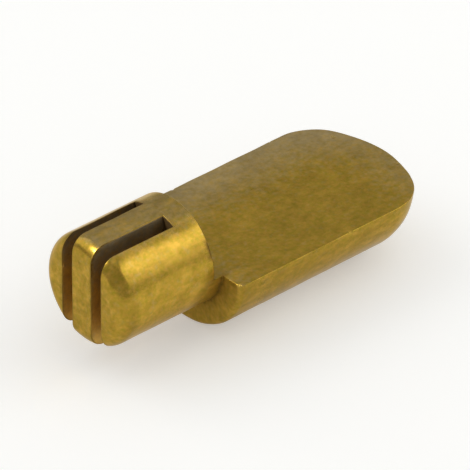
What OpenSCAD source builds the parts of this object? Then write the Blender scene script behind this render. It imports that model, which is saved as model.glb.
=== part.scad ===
// Shelf support pin: a split pin that pushes into the side of a cabinet,
// with a half-round head whose milled flat carries the shelf.
// It is turned and milled in one piece from round brass bar.
//
// The origin lies on the pin's axis in the plane of the shoulder.
// +X runs out along the head to its tip, and +Z stands up from the flat.

/* [Pin] */
// Diameter of the pin
pin_d = 6.9; // [5.5:0.05:7.5]
// Length of the pin, from its free end to the shoulder
pin_len = 7.5; // [6:0.1:14]
// Radius turned on the rim of the pin's free end
pin_end_r = 1; // [0.2:0.05:2]

/* [Slots] */
// Width of each slot, as wide as the saw that cuts it
slot_w = 0.8; // [0.4:0.05:1.2]
// Distance between the middles of the two slots
slot_pitch = 2.45; // [1.8:0.05:3]
// Solid length left on the axis between the slots and the shoulder
slot_root = 1.9; // [1:0.1:4]
// Diameter of the saw, which leaves the slots with curved ends
saw_d = 40; // [30:1:80]

/* [Head] */
// Diameter of the head
head_d = 10; // [8.5:0.1:12]
// Length of the head, from the shoulder to its tip
head_len = 15.5; // [10:0.5:30]
// Radius broken on the rim of the shoulder
rim_r = 0.35; // [0.05:0.05:0.5]
// Radius of the broad dome across the tip
dome_r = 7; // [6.5:0.1:15]
// Radius that blends the dome into the side of the head
dome_edge_r = 3; // [1:0.1:4]

/* [Flat] */
// Depth of the flat below the axis
flat_drop = 0.35; // [0:0.05:2]
// Distance that the flat runs past the shoulder, into the root of the pin
flat_runin = 0.65; // [0.1:0.05:0.9]

/* [Hidden] */
$fn = 144;
pin_r = pin_d / 2;
head_r = head_d / 2;
// How far a cutter runs clear of the metal
clear = 1;
// The blend stands proud of the dome by this much, so that their outlines cross
blend_lap = 0.01;
// From the dome's middle to the blend's: straight across, out from the axis and along it
blend_reach = dome_r - dome_edge_r + blend_lap;
blend_r = head_r - dome_edge_r;
blend_rise = sqrt(pow(blend_reach, 2) - pow(blend_r, 2));
// Angle from the axis at which the dome meets the blend
dome_angle = asin(blend_r / blend_reach);
// Where the head's straight side ends
side_end = head_len - dome_r + blend_rise;

// The outlines below are half sections: distance from the axis across the
// page, and distance along the part up it.

// A bar from x0 to x1 with the rim of its x0 end rounded
module rounded_bar(radius, x0, x1, rim) {
    translate([0, x0]) square([radius - rim, x1 - x0]);
    translate([0, x0 + rim]) square([radius, x1 - x0 - rim]);
    translate([radius - rim, x0 + rim]) circle(rim);
}

// The tip: a broad dome centred on the axis, blended into the head's side
module domed_tip() {
    reach = 2 * dome_r;
    translate([0, head_len - dome_r])
        intersection() {
            circle(dome_r);
            square(reach);
            union() {
                polygon([[0, 0], [reach * sin(dome_angle), reach * cos(dome_angle)], [0, reach]]);
                translate([blend_r, blend_rise]) circle(dome_edge_r);
            }
        }
}

// Half section of the whole turning; the pin's bar runs on inside the head
module turned_outline() {
    rounded_bar(pin_r, -pin_len, side_end, pin_end_r);
    rounded_bar(head_r, 0, side_end, rim_r);
    domed_tip();
}

// Space cleared above the flat, from the root of the pin to past the tip
module flat_cut() {
    translate([-flat_runin, -head_r - clear, -flat_drop])
        cube([flat_runin + head_len + clear, head_d + 2 * clear, head_r + flat_drop + clear]);
}

// One pass of the slitting saw along the pin, at a distance y from its axis
module slot_cut(y) {
    translate([-slot_root - saw_d / 2, y + slot_w / 2, 0])
        rotate([90, 0, 0]) cylinder(h = slot_w, d = saw_d);
}

module shelf_pin() {
    color([0.72, 0.53, 0.2])
        difference() {
            rotate([0, 90, 0]) rotate_extrude() turned_outline();
            flat_cut();
            for (side = [-1, 1]) slot_cut(side * slot_pitch / 2);
        }
}

shelf_pin();
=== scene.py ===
import math

import bpy
import numpy as np
from mathutils import Matrix, Vector


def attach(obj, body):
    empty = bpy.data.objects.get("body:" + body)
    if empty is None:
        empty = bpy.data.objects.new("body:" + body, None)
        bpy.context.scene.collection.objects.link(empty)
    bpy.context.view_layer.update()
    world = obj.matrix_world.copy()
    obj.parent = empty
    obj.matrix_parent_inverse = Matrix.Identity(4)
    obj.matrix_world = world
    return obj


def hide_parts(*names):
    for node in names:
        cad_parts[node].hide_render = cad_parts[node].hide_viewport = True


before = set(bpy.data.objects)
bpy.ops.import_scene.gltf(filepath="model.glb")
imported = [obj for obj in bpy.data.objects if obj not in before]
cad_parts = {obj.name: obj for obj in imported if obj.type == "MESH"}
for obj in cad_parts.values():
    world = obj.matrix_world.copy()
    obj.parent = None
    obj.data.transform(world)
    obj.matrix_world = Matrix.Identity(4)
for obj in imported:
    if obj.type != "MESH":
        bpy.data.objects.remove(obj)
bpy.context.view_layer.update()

# The shelf pin starts as a length of 10 mm round brass bar in the lathe. The bar is turned down to the
# pin, faced square at the shoulder and rounded at both ends. Sizes on the work are in millimetres, along
# from the shoulder and out from the bar's axis.
MM = 0.001
PIN_R = 3.45
PIN_LENGTH = 7.5
PIN_END_ROUNDING = 1.0
HEAD_R = 5.0
HEAD_LENGTH = 15.5
SHOULDER_RIM_ROUNDING = 0.35
DOME_R = 7.0
DOME_EDGE_R = 3.0


def rounded_corner(first, second, radius):
    """How far a point stands outside two surfaces whose meeting edge is rounded to this radius."""
    past_first = np.maximum(first + radius, 0)
    past_second = np.maximum(second + radius, 0)
    inside = np.minimum(np.maximum(first, second), -radius)
    return inside + np.hypot(past_first, past_second)


def head_outline(along, out):
    """Distance outside the head's turned outline: its straight side, the edge blend and the dome."""
    dome_x = HEAD_LENGTH - DOME_R
    blend_out = HEAD_R - DOME_EDGE_R
    blend_along = math.sqrt((DOME_R - DOME_EDGE_R) ** 2 - blend_out ** 2)
    side = out - HEAD_R
    blend = np.hypot(along - dome_x - blend_along, out - blend_out) - DOME_EDGE_R
    dome = np.hypot(along - dome_x, out) - DOME_R
    on_dome = out * blend_along < (along - dome_x) * blend_out
    return np.where(on_dome, dome, np.where(along > dome_x + blend_along, blend, side))


def turned_blank(along, out):
    """Distance outside the turned blank, before anything is milled or sawn from it."""
    pin = rounded_corner(-PIN_LENGTH - along, out - PIN_R, PIN_END_ROUNDING)
    pin = np.maximum(pin, along - HEAD_LENGTH / 2)
    head = rounded_corner(-along, head_outline(along, out), SHOULDER_RIM_ROUNDING)
    return np.minimum(pin, head)


# The upper half of the head is milled away, to just past the axis, for the shelf to lie on. The cutter
# runs on a little way beyond the shoulder, so it leaves a small step in the top of the pin's root.
FLAT_DROP = 0.35
MILL_RUN_IN = 0.65
MILL_CORNER_R = 0.06


def milled_space(at):
    """Distance outside the space that the milling cutter sweeps clear."""
    return rounded_corner(-MILL_RUN_IN - at[:, 0], -FLAT_DROP - at[:, 2], MILL_CORNER_R)


# Two slots are sawn side by side down the pin with a disc saw, so that its three leaves can spring when
# the pin is pushed into its hole. The saw's rim leaves the bottom of each slot gently curved.
SLOT_WIDTH = 0.8
SLOT_PITCH = 2.45
SLOT_ROOT = 1.9
SAW_R = 20.0


def sawn_space(at, side):
    """Distance outside one saw kerf. side is -1 or 1."""
    kerf = np.abs(at[:, 1] - side * SLOT_PITCH / 2) - SLOT_WIDTH / 2
    disc = np.hypot(at[:, 0] + SLOT_ROOT + SAW_R, at[:, 2]) - SAW_R
    return np.maximum(kerf, disc)


# Last the parts are tumbled together in a drum of stones. That breaks every edge softly, the slots'
# edges a little less, waves the faces, and strikes small dents into the faces and nicks into the edges.
# The mesh is a fine skin on the CAD solid, drawn onto this worn form.
EDGE_WEAR = 0.05
SLOT_EDGE_SHARE = 0.9
WEAR_SPREAD = 0.5
WEAR_PITCH = 2.5
WEAR_LIMIT = 1.5
WEAR_SEED = 3
WAVE_HEIGHT = 0.005
WAVE_PITCH = 1.9
WAVE_SEED = 8
WAVES = 9
WAVE_SPREAD = (0.6, 1.5)
DENTS = 46
DENT_R = (0.06, 0.17)
DENT_SLOPE = 0.06
DENT_PLACE_SEED = 17
DENT_SIZE_SEED = 21
# Each nick is its place, its radius and its depth.
EDGE_NICKS = (
    ((8.32, -4.99, -0.38), 0.2, 0.06),
    ((0.03, -4.75, -0.39), 0.17, 0.05),
    ((0.42, -4.97, -0.41), 0.12, 0.04),
    ((3.6, 4.99, -0.37), 0.16, 0.05),
    ((14.2, 2.9, -0.36), 0.2, 0.05),
    ((11.1, 4.98, -0.4), 0.12, 0.03),
    ((-7.45, 1.66, 1.02), 0.1, 0.03),
    ((-7.2, -0.84, -2.9), 0.12, 0.04),
    ((15.1, -1.6, -0.4), 0.15, 0.04),
)
MESH_STEP = 0.037
MESH_TRIANGLES = 184000
RELAX_ROUNDS = 8
RELAX_SHARE = 0.6
SETTLE_ROUNDS = 6
PROBE = 0.001
LEAST_SLOPE = 0.5


def wavy(at, pitch, seed):
    """A smooth random value from about -1 to 1 at each point, changing over about one pitch."""
    rng = np.random.default_rng(seed)
    height = np.zeros(len(at))
    for _ in range(WAVES):
        way = rng.normal(size=3)
        way /= np.linalg.norm(way)
        turns = at @ way * rng.uniform(*WAVE_SPREAD) / pitch + rng.random()
        height += np.sin(math.tau * turns)
    return height / math.sqrt(WAVES)


def edge_wear(at):
    """The radius that the tumbling leaves on an edge at each point."""
    more = np.clip(wavy(at, WEAR_PITCH, WEAR_SEED), -WEAR_LIMIT, WEAR_LIMIT)
    return EDGE_WEAR * (1 + WEAR_SPREAD * more)


def finished_form(at, wear):
    """Distance outside the finished pin, at points in millimetres."""
    form = turned_blank(at[:, 0], np.hypot(at[:, 1], at[:, 2]))
    form = rounded_corner(form, -milled_space(at), wear)
    for side in (-1, 1):
        form = rounded_corner(form, -sawn_space(at, side), wear * SLOT_EDGE_SHARE)
    return form + WAVE_HEIGHT * (1 + wavy(at, WAVE_PITCH, WAVE_SEED))


def slope(at, wear):
    """The way out of the finished form at each point, about one long."""
    out = np.empty_like(at)
    for axis in range(3):
        step = np.zeros(3)
        step[axis] = PROBE
        rise = finished_form(at + step, wear) - finished_form(at - step, wear)
        out[:, axis] = rise / (2 * PROBE)
    return out


def settle(at, wear):
    """Moves each point straight onto the finished form's surface."""
    way = slope(at, wear)
    squared = np.maximum((way ** 2).sum(axis=1), LEAST_SLOPE ** 2)
    return at - (finished_form(at, wear) / squared)[:, None] * way


def scattered(count, low, high, seed):
    """Random points, spread over the finished form's surface."""
    at = np.random.default_rng(seed).uniform(low, high, (count, 3))
    for _ in range(SETTLE_ROUNDS):
        at = settle(at, np.full(count, EDGE_WEAR))
    return at


def dents(at, dent_list):
    """How deep the dents are at each point, and the slope of their sides."""
    depth = np.zeros(len(at))
    way = np.zeros_like(at)
    for centre, radius, sink in dent_list:
        gap = at - centre
        bowl = 1 - (gap ** 2).sum(axis=1) / radius ** 2
        near = bowl > 0
        depth[near] += sink * bowl[near] ** 2
        way[near] -= 2 * sink * bowl[near, None] * 2 * gap[near] / radius ** 2
    return depth, way


def mesh_points(mesh):
    """The mesh's points, one a row."""
    flat = np.empty(len(mesh.vertices) * 3, np.float32)
    mesh.vertices.foreach_get("co", flat)
    return flat.reshape(-1, 3).astype(float)


def remade(mesh, kind, **settings):
    """A new mesh, made from this one by one modifier."""
    holder = bpy.data.objects.new("holder", mesh)
    bpy.context.scene.collection.objects.link(holder)
    modifier = holder.modifiers.new(kind, kind)
    for name, value in settings.items():
        setattr(modifier, name, value)
    graph = bpy.context.evaluated_depsgraph_get()
    made = bpy.data.meshes.new_from_object(holder.evaluated_get(graph), depsgraph=graph)
    bpy.data.objects.remove(holder)
    bpy.data.meshes.remove(mesh)
    return made


lowest = (-PIN_LENGTH, -HEAD_R, -HEAD_R)
highest = (HEAD_LENGTH, HEAD_R, PIN_R)
dent_rng = np.random.default_rng(DENT_SIZE_SEED)
dent_list = [(np.array(centre), radius, sink) for centre, radius, sink in EDGE_NICKS]
for centre in scattered(DENTS, lowest, highest, DENT_PLACE_SEED):
    radius = dent_rng.uniform(*DENT_R)
    dent_list.append((centre, radius, DENT_SLOPE * radius))

rough_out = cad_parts["shelf_pin"].data.copy()
rough_out.transform(Matrix.Scale(1 / MM, 4))
mesh_step = MESH_STEP
dense = remade(rough_out, "REMESH", mode="VOXEL", voxel_size=mesh_step)
points = mesh_points(dense)
wear = edge_wear(points)
ends = np.empty(len(dense.edges) * 2, np.int32)
dense.edges.foreach_get("vertices", ends)
ends = ends.reshape(-1, 2)
count = len(points)
neighbours = np.bincount(ends.ravel(), minlength=count)
points = settle(settle(points, wear), wear)
for _ in range(RELAX_ROUNDS):
    middle = np.empty_like(points)
    for axis in range(3):
        one_end = np.bincount(ends[:, 0], points[ends[:, 1], axis], count)
        other_end = np.bincount(ends[:, 1], points[ends[:, 0], axis], count)
        middle[:, axis] = (one_end + other_end) / neighbours
    points = settle(points + RELAX_SHARE * (middle - points), wear)
points = settle(points, wear)
points -= dents(points, dent_list)[0][:, None] * slope(points, wear)
dense.vertices.foreach_set("co", points.astype(np.float32).ravel())
dense.update()
dense_triangles = 2 * len(dense.polygons)
finished = remade(dense, "DECIMATE", ratio=min(1, MESH_TRIANGLES / dense_triangles))
points = mesh_points(finished)
wear = edge_wear(points)
normals = slope(points, wear) + dents(points, dent_list)[1]
normals /= np.linalg.norm(normals, axis=1, keepdims=True)

# The brass shows how each place was worked and has aged: turned, milled or sawn, brighter on the barrel
# and worn bright on the edges, and bloomed with a painted sheen where it faces up. Painted shade darkens
# the corners, the step's edge and the slots. Each point of the mesh keeps these as marks from 0 to 1,
# which the finish reads.
MARK_REACH = 0.04
SKIN_DEPTH = 0.015
EDGE_DEPTH = 0.02
# The corners at the root of the pin and at the step get a painted brown shade, most of all low down.
CORNER_REACH = 0.6
CORNER_TOP_SHARE = 0.3
CORNER_LOW_Z = 1.5
CORNER_FADE = 3.0
# Painted shade lies as a thin dark line deep in the corners, in the slots' closed ends and along
# their edges, and a painted shadow of the step runs along its edge on the barrel.
SHADE_LINE_REACH = 0.05
ROOT_SHADE_SHARE = 0.4
STEP_SHADOW_REACH = 0.15
STEP_SHADOW_Z = (0.7, 2.3)
STEP_SHADOW_FADE = 0.6
KERF_SHADE_REACH = 0.15
KERF_SHADE_SHARE = 0.95
SLOT_EDGE_SHADE = 0.9
# The barrel is made brighter, all but its very top.
BRIGHTER_BARREL_FADE = 0.5
BRIGHTER_BARREL_DEPTH = 0.08
BRIGHTER_BARREL_TOP = 0.98
BRIGHTER_BARREL_TOP_FADE = 0.15
# The bloom lies where the brass faces up, most of all on the +Y side, at the tip and over the root. It
# is partly a tarnish haze and partly a painted sheen, and in the slots it grows towards the top.
BLOOM_SHEEN_FADE = 5.5
BLOOM_SHEEN_TIP_X = 11.0
BLOOM_SHEEN_TIP_SHARE = 0.65
BLOOM_SHEEN_ROOT_X = 3.0
BLOOM_SHEEN_ROOT_SHARE = 0.6
BLOOM_SHEEN_LEAN = 0.75


def eased(values):
    """Values held between 0 and 1, with a soft start and end."""
    held = np.clip(values, 0, 1)
    return held * held * (3 - 2 * held)


def mark(name, values):
    """Keeps one value for each point on the mesh, under this name."""
    made = finished.attributes.new(name, "FLOAT", "POINT")
    made.data.foreach_set("value", np.clip(values, 0, 1).astype(np.float32))


along = points[:, 0]
upward = points[:, 2]
out = np.hypot(points[:, 1], upward)
skin = turned_blank(along, out)
kerf = np.minimum(sawn_space(points, -1), sawn_space(points, 1))
below_skin = eased((-skin - SKIN_DEPTH) / MARK_REACH)
in_kerf = below_skin * (kerf < MARK_REACH)
mark("sawn", in_kerf)
mark("milled", below_skin * (np.abs(milled_space(points)) < MARK_REACH))
mark("edge", -finished_form(points, np.full(len(points), PROBE)) / EDGE_DEPTH)

root_gap = np.hypot(along, out - PIN_R)
step_gap = np.hypot(along + MILL_RUN_IN, upward + FLAT_DROP)
corner_gap = np.minimum(root_gap, step_gap)
low = CORNER_TOP_SHARE + (1 - CORNER_TOP_SHARE) * eased((CORNER_LOW_Z - upward) / CORNER_FADE)
# Painted shade in the corners, deepest low down.
mark("corner", np.exp(-corner_gap / (CORNER_REACH * low)) * low)

# Painted shade: a thin dark line in the root and step corners.
corner_shade_line = ROOT_SHADE_SHARE * np.exp(-(corner_gap / SHADE_LINE_REACH) ** 2)
# Painted shadow of the step, along its edge on the barrel.
step_shadow = np.exp(-(np.hypot(along + MILL_RUN_IN, skin) / STEP_SHADOW_REACH) ** 2)
step_shadow *= eased((upward - STEP_SHADOW_Z[0]) / STEP_SHADOW_FADE) * eased((STEP_SHADOW_Z[1] - upward) / STEP_SHADOW_FADE)
kerf_end_gap = np.abs(np.hypot(along + SLOT_ROOT + SAW_R, upward) - SAW_R)
# Painted shade in the slots, darkest at their closed ends.
kerf_end_shade = KERF_SHADE_SHARE * in_kerf * np.exp(-kerf_end_gap / KERF_SHADE_REACH)
# Painted shade along the slots' edges.
slot_edge_shade = SLOT_EDGE_SHADE * np.exp(-(np.hypot(skin, kerf) / SHADE_LINE_REACH) ** 2)
mark("painted_shade", np.maximum.reduce((corner_shade_line, step_shadow, kerf_end_shade, slot_edge_shade)))

barrel = eased((along + PIN_LENGTH - PIN_END_ROUNDING) / BRIGHTER_BARREL_FADE) * eased(-along / BRIGHTER_BARREL_FADE)
barrel *= eased((BRIGHTER_BARREL_TOP - normals[:, 2]) / BRIGHTER_BARREL_TOP_FADE)
mark("brighter_barrel", barrel * eased((out - PIN_R + BRIGHTER_BARREL_DEPTH) / MARK_REACH))

# Tarnish haze with a painted sheen, on faces that look up.
bloom_sheen = eased(points[:, 1] / BLOOM_SHEEN_FADE)
bloom_sheen += BLOOM_SHEEN_TIP_SHARE * eased((along - BLOOM_SHEEN_TIP_X) / BLOOM_SHEEN_FADE)
bloom_sheen += BLOOM_SHEEN_ROOT_SHARE * eased((BLOOM_SHEEN_ROOT_X - along) / BLOOM_SHEEN_FADE)
bloom_sheen *= eased((normals[:, 2] - BLOOM_SHEEN_LEAN) / (1 - BLOOM_SHEEN_LEAN))
# In the slots the haze and painted sheen grow towards the top.
kerf_bloom_sheen = eased(upward / PIN_R)
mark("bloom_sheen", bloom_sheen + (kerf_bloom_sheen - bloom_sheen) * in_kerf)

finished.transform(Matrix.Scale(MM, 4))
finished.shade_smooth()
finished.normals_split_custom_set_from_vertices(normals)
finished.name = "worn_shelf_pin"
shelf_pin = bpy.data.objects.new("worn_shelf_pin", finished)
bpy.context.scene.collection.objects.link(shelf_pin)
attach(shelf_pin, "root")
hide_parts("shelf_pin")

# The brass is left bare. Tumbling dulls it to a soft shine with a fine grain, mottled tones and tan
# smears, over faint lathe rings, cutter marks and saw marks. With age it goes from olive to red brass in
# specks, and clouds over where it faces up, with a painted sheen there. The slots are sawn brown, and
# painted shade browns the corners and darkens the slots' ends and edges.
OLIVE_BRASS = (0.315, 0.234, 0.02, 1)
RED_BRASS = (0.405, 0.229, 0.036, 1)
RED_SWING = 1.8
EVEN_MIX = 0.5
BLOOM_SHEEN_BRASS = (0.4, 0.3, 0.14, 1)
TAN_BRASS = (0.44, 0.262, 0.045, 1)
BRIGHT_BRASS = (0.43, 0.29, 0.055, 1)
EDGE_BRIGHT = 0.3
CORNER_SHADE_BROWN = (0.19, 0.115, 0.026, 1)
CORNER_SHADING = 0.35
SAWN_BROWN = (0.54, 0.335, 0.08, 1)
SAWN_GREY = (0.36, 0.292, 0.18, 1)
# The dark brown of the painted shade.
SHADE_BROWN = (0.09, 0.052, 0.016, 1)
EDGE_TINT = (0.9, 0.82, 0.66, 1)
FEW_LAYERS = 2
SOME_LAYERS = 3
MANY_LAYERS = 4
NOISE_MIDDLE = 0.5
GRAIN_SIZE = 0.09
GRAIN_TONE = 0.24
GRAIN_ROUGHNESS = 0.14
GRAIN_HEIGHT = 0.0004
SPECKLE_SIZE = 0.22
SPECKLE_TONE = 0.36
SPECKLE_HEIGHT = 0.0013
MOTTLE_SIZE = 0.7
MOTTLE_TONE = 0.5
MOTTLE_ROUGHNESS = 0.08
PATCH_SIZE = 3.2
PATCH_TONE = 0.32
PATCH_ROUGHNESS = 0.08
SMEAR_SIZE = 0.45
SMEAR_STRETCH = 0.5
SMEAR_TAN = 2.4
SMEAR_TONE = 0.6
MILLED_SMEARED_LESS = 0.5
CLOUD_SIZE = 0.3
CLOUD_BLOOM_SHEEN = 1.3
CLOUD_BLOOM_SHEEN_START = -0.06
BRIGHTER_BARREL_TONE = 0.24
RING_PITCH = 0.07
RING_TONE = 0.06
RING_HEIGHT = 0.0011
CUTTER_R = 16.0
CUTTER_PITCH = 0.11
CUTTER_HEIGHT = 0.002
SAW_MARK_PITCH = 0.06
SAW_MARK_HEIGHT = 0.002
ROUGHNESS = 0.22
MILLED_ROUGHER = 0.1
SAWN_ROUGHER = 0.3
CORNER_ROUGHER = 0.5
CORNER_ROUGH_SPREAD = 0.5
EDGE_SMOOTHER = 0.05
MIX_UNDER = 6
MIX_OVER = 7
MIX_RESULT = 2

brass = bpy.data.materials.new("tumbled_brass")
brass.use_nodes = True
brass_nodes = brass.node_tree.nodes
brass_links = brass.node_tree.links


def feed(socket, value):
    """Links a socket to another node's output, or sets it to a plain value."""
    if isinstance(value, bpy.types.NodeSocket):
        brass_links.new(value, socket)
    else:
        socket.default_value = value


def calc(operation, first, second=0.0):
    """One sum on two values."""
    made = brass_nodes.new("ShaderNodeMath")
    made.operation = operation
    feed(made.inputs[0], first)
    feed(made.inputs[1], second)
    return made.outputs[0]


def times(first, second):
    """Two values multiplied."""
    return calc("MULTIPLY", first, second)


def total(*values):
    """All the values added up."""
    made = values[0]
    for value in values[1:]:
        made = calc("ADD", made, value)
    return made


def vector(x, y, z=0.0):
    """Three values as one place."""
    made = brass_nodes.new("ShaderNodeCombineXYZ")
    for socket, value in zip(made.inputs, (x, y, z)):
        feed(socket, value)
    return made.outputs[0]


def noise(at, size, layers):
    """A soft random pattern with spots of about this size, from -0.5 to 0.5."""
    made = brass_nodes.new("ShaderNodeTexNoise")
    feed(made.inputs["Vector"], at)
    made.inputs["Scale"].default_value = 1 / size
    made.inputs["Detail"].default_value = layers
    return calc("SUBTRACT", made.outputs["Fac"], NOISE_MIDDLE)


def marked(name):
    """The mark of this name that the mesh keeps."""
    made = brass_nodes.new("ShaderNodeAttribute")
    made.attribute_name = name
    return made.outputs["Fac"]


def blended(amount, under, over):
    """One colour laid over another."""
    made = brass_nodes.new("ShaderNodeMix")
    made.data_type = "RGBA"
    feed(made.inputs["Factor"], amount)
    feed(made.inputs[MIX_UNDER], under)
    feed(made.inputs[MIX_OVER], over)
    return made.outputs[MIX_RESULT]


def scaled(colour, amount):
    """A colour or a place, times an amount."""
    made = brass_nodes.new("ShaderNodeVectorMath")
    made.operation = "SCALE"
    feed(made.inputs[0], colour)
    feed(made.inputs["Scale"], amount)
    return made.outputs[0]


def split(at):
    """The three values of a place."""
    made = brass_nodes.new("ShaderNodeSeparateXYZ")
    feed(made.inputs[0], at)
    return made.outputs


def far(first, second):
    """The length of a line with these two steps."""
    return calc("SQRT", total(times(first, first), times(second, second)))


place = scaled(brass_nodes.new("ShaderNodeTexCoord").outputs["Object"], 1 / MM)
x, y, z = split(place)
sawn = marked("sawn")
milled = marked("milled")
edge = marked("edge")
corner = marked("corner")
painted_shade = marked("painted_shade")
brighter_barrel = marked("brighter_barrel")
turned = calc("SUBTRACT", 1.0, calc("MAXIMUM", sawn, milled))
grain = noise(place, GRAIN_SIZE, FEW_LAYERS)
speckle = noise(place, SPECKLE_SIZE, SOME_LAYERS)
mottle = noise(place, MOTTLE_SIZE, MANY_LAYERS)
patch = noise(place, PATCH_SIZE, SOME_LAYERS)
cloud = noise(place, CLOUD_SIZE, MANY_LAYERS)
smear = noise(vector(times(x, SMEAR_STRETCH), y, z), SMEAR_SIZE, SOME_LAYERS)
unsmeared = calc("MAXIMUM", sawn, times(milled, MILLED_SMEARED_LESS))
smear = times(smear, calc("SUBTRACT", 1.0, unsmeared))
rings = times(noise(vector(x, far(y, z)), RING_PITCH, FEW_LAYERS), turned)
from_cutter = far(total(x, CUTTER_R), y)
cutter_marks = times(noise(vector(from_cutter, 0.0), CUTTER_PITCH, FEW_LAYERS), milled)
from_saw = far(total(x, SLOT_ROOT + SAW_R), z)
saw_marks = times(noise(vector(from_saw, 0.0), SAW_MARK_PITCH, FEW_LAYERS), sawn)

bloom_sheen_amount = total(marked("bloom_sheen"), times(cloud, CLOUD_BLOOM_SHEEN), CLOUD_BLOOM_SHEEN_START)
tone = blended(total(times(speckle, RED_SWING), EVEN_MIX), OLIVE_BRASS, RED_BRASS)
# Partly tarnish haze, partly a painted sheen that lightens the upward faces.
tone = blended(bloom_sheen_amount, tone, BLOOM_SHEEN_BRASS)
tone = blended(times(smear, SMEAR_TAN), tone, TAN_BRASS)
tone = blended(times(edge, EDGE_BRIGHT), tone, BRIGHT_BRASS)
# Painted shade: the corners are blended towards a dark brown.
tone = blended(times(corner, CORNER_SHADING), tone, CORNER_SHADE_BROWN)
# In the slots the sawn brown goes greyer towards the top with the haze and painted sheen.
tone = blended(sawn, tone, blended(bloom_sheen_amount, SAWN_BROWN, SAWN_GREY))
# Painted shade: the corner creases, the step's edge and the slots' ends and edges go dark brown.
tone = blended(painted_shade, tone, SHADE_BROWN)
shade = total(
    1.0,
    times(brighter_barrel, BRIGHTER_BARREL_TONE),
    times(grain, GRAIN_TONE),
    times(speckle, SPECKLE_TONE),
    times(mottle, MOTTLE_TONE),
    times(smear, SMEAR_TONE),
    times(patch, PATCH_TONE),
    times(rings, RING_TONE))
corner_rough = calc("MAXIMUM", calc("POWER", corner, CORNER_ROUGH_SPREAD), painted_shade)
roughness = total(
    ROUGHNESS,
    times(milled, MILLED_ROUGHER),
    times(sawn, SAWN_ROUGHER),
    times(corner_rough, CORNER_ROUGHER),
    times(edge, -EDGE_SMOOTHER),
    times(grain, GRAIN_ROUGHNESS),
    times(mottle, MOTTLE_ROUGHNESS),
    times(patch, PATCH_ROUGHNESS))
height = total(
    times(grain, GRAIN_HEIGHT),
    times(speckle, SPECKLE_HEIGHT),
    times(rings, RING_HEIGHT),
    times(cutter_marks, CUTTER_HEIGHT),
    times(saw_marks, SAW_MARK_HEIGHT))
bump = brass_nodes.new("ShaderNodeBump")
bump.inputs["Strength"].default_value = 1.0
bump.inputs["Distance"].default_value = MM
feed(bump.inputs["Height"], height)

shader = brass_nodes["Principled BSDF"]
shader.inputs["Metallic"].default_value = 1.0
shader.inputs["Specular Tint"].default_value = EDGE_TINT
feed(shader.inputs["Base Color"], scaled(tone, shade))
feed(shader.inputs["Roughness"], roughness)
feed(shader.inputs["Normal"], bump.outputs[0])
finished.materials.clear()
finished.materials.append(brass)

# The pin lies flat side up on a plain white table, on the round underside of its head, and throws a
# soft shadow on it. The table's paint is matt, with a glow that only the eye and the polished brass
# see, and from below the table is clear.
TABLE_SIDE = 3.0
TABLE_WHITE = (0.84, 0.84, 0.815, 1)
TABLE_GLOW = 0.335
TABLE_GAP = 0.01
table_material = bpy.data.materials.new("white_table")
table_material.use_nodes = True
table_nodes = table_material.node_tree.nodes
table_links = table_material.node_tree.links
table_nodes.clear()
table_paint = table_nodes.new("ShaderNodeBsdfDiffuse")
table_paint.inputs["Color"].default_value = TABLE_WHITE
table_rays = table_nodes.new("ShaderNodeLightPath")
seen = table_rays.outputs["Is Camera Ray"]
for kind in ("Is Glossy Ray", "Is Transmission Ray"):
    either = table_nodes.new("ShaderNodeMath")
    either.operation = "MAXIMUM"
    table_links.new(seen, either.inputs[0])
    table_links.new(table_rays.outputs[kind], either.inputs[1])
    seen = either.outputs[0]
glow_strength = table_nodes.new("ShaderNodeMath")
glow_strength.operation = "MULTIPLY"
glow_strength.inputs[1].default_value = TABLE_GLOW
table_links.new(seen, glow_strength.inputs[0])
table_glow = table_nodes.new("ShaderNodeEmission")
table_links.new(glow_strength.outputs[0], table_glow.inputs["Strength"])
table_top = table_nodes.new("ShaderNodeAddShader")
table_links.new(table_paint.outputs[0], table_top.inputs[0])
table_links.new(table_glow.outputs[0], table_top.inputs[1])
table_below = table_nodes.new("ShaderNodeBsdfTransparent")
table_side = table_nodes.new("ShaderNodeNewGeometry")
table_mix = table_nodes.new("ShaderNodeMixShader")
table_links.new(table_side.outputs["Backfacing"], table_mix.inputs[0])
table_links.new(table_top.outputs[0], table_mix.inputs[1])
table_links.new(table_below.outputs[0], table_mix.inputs[2])
table_end = table_nodes.new("ShaderNodeOutputMaterial")
table_links.new(table_mix.outputs[0], table_end.inputs["Surface"])
half = TABLE_SIDE / 2
table_z = -(HEAD_R + TABLE_GAP) * MM
table_corners = (
    (-half, -half, table_z),
    (half, -half, table_z),
    (half, half, table_z),
    (-half, half, table_z),
)
table_mesh = bpy.data.meshes.new("table")
table_mesh.from_pydata(table_corners, [], [(0, 1, 2, 3)])
table_mesh.materials.append(table_material)
table = bpy.data.objects.new("table", table_mesh)
bpy.context.scene.collection.objects.link(table)

# Soft panels of light stand round the pin in an evenly lit white room: at the front right, low in front,
# overhead and behind. One small strong lamp at the left puts the glint on the pin's end, and only the
# shine of the brass shows it.
PANEL_DISTANCE = 0.6
ROOM_LIGHT = (0.54, 0.54, 0.54, 1)
# Each panel's name, azimuth and elevation in degrees, width and height in metres, and brightness, where
# 1 looks white. Azimuth 0 is the -Y side, and 90 is +X.
PANELS = (
    ("key_panel", 50, 38.5, 0.46, 0.19, 0.68),
    ("key_spill", 52, 33, 0.48, 0.38, 0.7),
    ("low_front_panel", 38, 11, 0.6, 0.16, 0.22),
    ("back_panel", 212, 40, 0.6, 0.46, 0.7),
    ("top_panel", 50, 72, 0.5, 0.3, 0.35),
    ("far_panel", 139, 48, 0.55, 0.4, 0.08),
    ("back_strip", 198, 20, 0.36, 0.1, 0.5),
    ("right_strip", 100, 18, 0.5, 0.1, 0.8),
    ("glint_lamp", -108, 53, 0.09, 0.09, 180.0),
)

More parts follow.
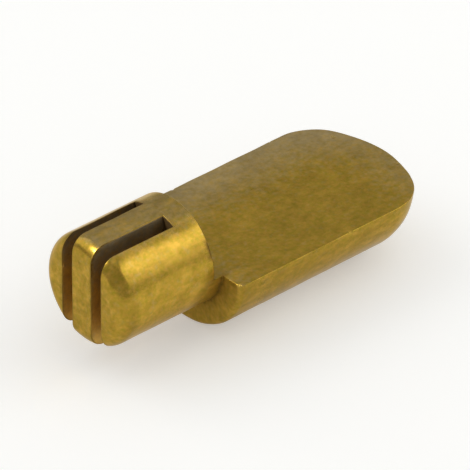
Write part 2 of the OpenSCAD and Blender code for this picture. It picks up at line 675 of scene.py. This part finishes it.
for name, azimuth, elevation, wide, tall, brightness in PANELS:
    lamp = bpy.data.lights.new(name, "AREA")
    lamp.shape = "RECTANGLE"
    lamp.size = wide
    lamp.size_y = tall
    lamp.energy = brightness * math.pi * wide * tall
    turn = math.radians(azimuth)
    rise = math.radians(elevation)
    way = Vector((math.sin(turn) * math.cos(rise), -math.cos(turn) * math.cos(rise), math.sin(rise)))
    stand = bpy.data.objects.new(name, lamp)
    stand.location = way * PANEL_DISTANCE
    stand.rotation_euler = way.to_track_quat("Z", "Y").to_euler()
    stand.visible_camera = False
    stand.visible_diffuse = name != "glint_lamp"
    bpy.context.scene.collection.objects.link(stand)

world = bpy.data.worlds.new("white_room")
bpy.context.scene.world = world
world.use_nodes = True
world.node_tree.nodes["Background"].inputs["Color"].default_value = ROOM_LIGHT

# The camera stands well back with a long lens, and looks down on the pin's slotted end from the front
# left. Its place is given from the middle of that end, in pin radii to its right, up and back.
VIEW_AZIMUTH = 41.975
VIEW_DOWN = 34.393
VIEW_ROLL = 0.475
STAND_RIGHT = 2.482
STAND_UP = 0.961
STAND_BACK = 96.894
PICTURE = 470
FOCAL_PIXELS = 6000
SENSOR = 36.0
CLIP_NEAR = 0.01
CLIP_FAR = 10.0
turn = math.radians(VIEW_AZIMUTH)
dip = math.radians(VIEW_DOWN)
roll = math.radians(VIEW_ROLL)
away = Vector((math.sin(turn) * math.cos(dip), math.cos(turn) * math.cos(dip), -math.sin(dip)))
level = Vector((math.cos(turn), -math.sin(turn), 0))
right = math.cos(roll) * level + math.sin(roll) * level.cross(away)
up = right.cross(away)
from_end = (right * STAND_RIGHT + up * STAND_UP - away * STAND_BACK) * PIN_R * MM
camera_at = from_end + Vector((-PIN_LENGTH * MM, 0, 0))
camera_data = bpy.data.cameras.new("camera")
camera_data.sensor_width = SENSOR
camera_data.lens = SENSOR * FOCAL_PIXELS / PICTURE
camera_data.clip_start = CLIP_NEAR
camera_data.clip_end = CLIP_FAR
camera = bpy.data.objects.new("camera", camera_data)
camera.matrix_world = Matrix((
    (right.x, up.x, -away.x, camera_at.x),
    (right.y, up.y, -away.y, camera_at.y),
    (right.z, up.z, -away.z, camera_at.z),
    (0, 0, 0, 1)))
bpy.context.scene.collection.objects.link(camera)
bpy.context.scene.camera = camera
bpy.context.scene.view_settings.view_transform = "Standard"
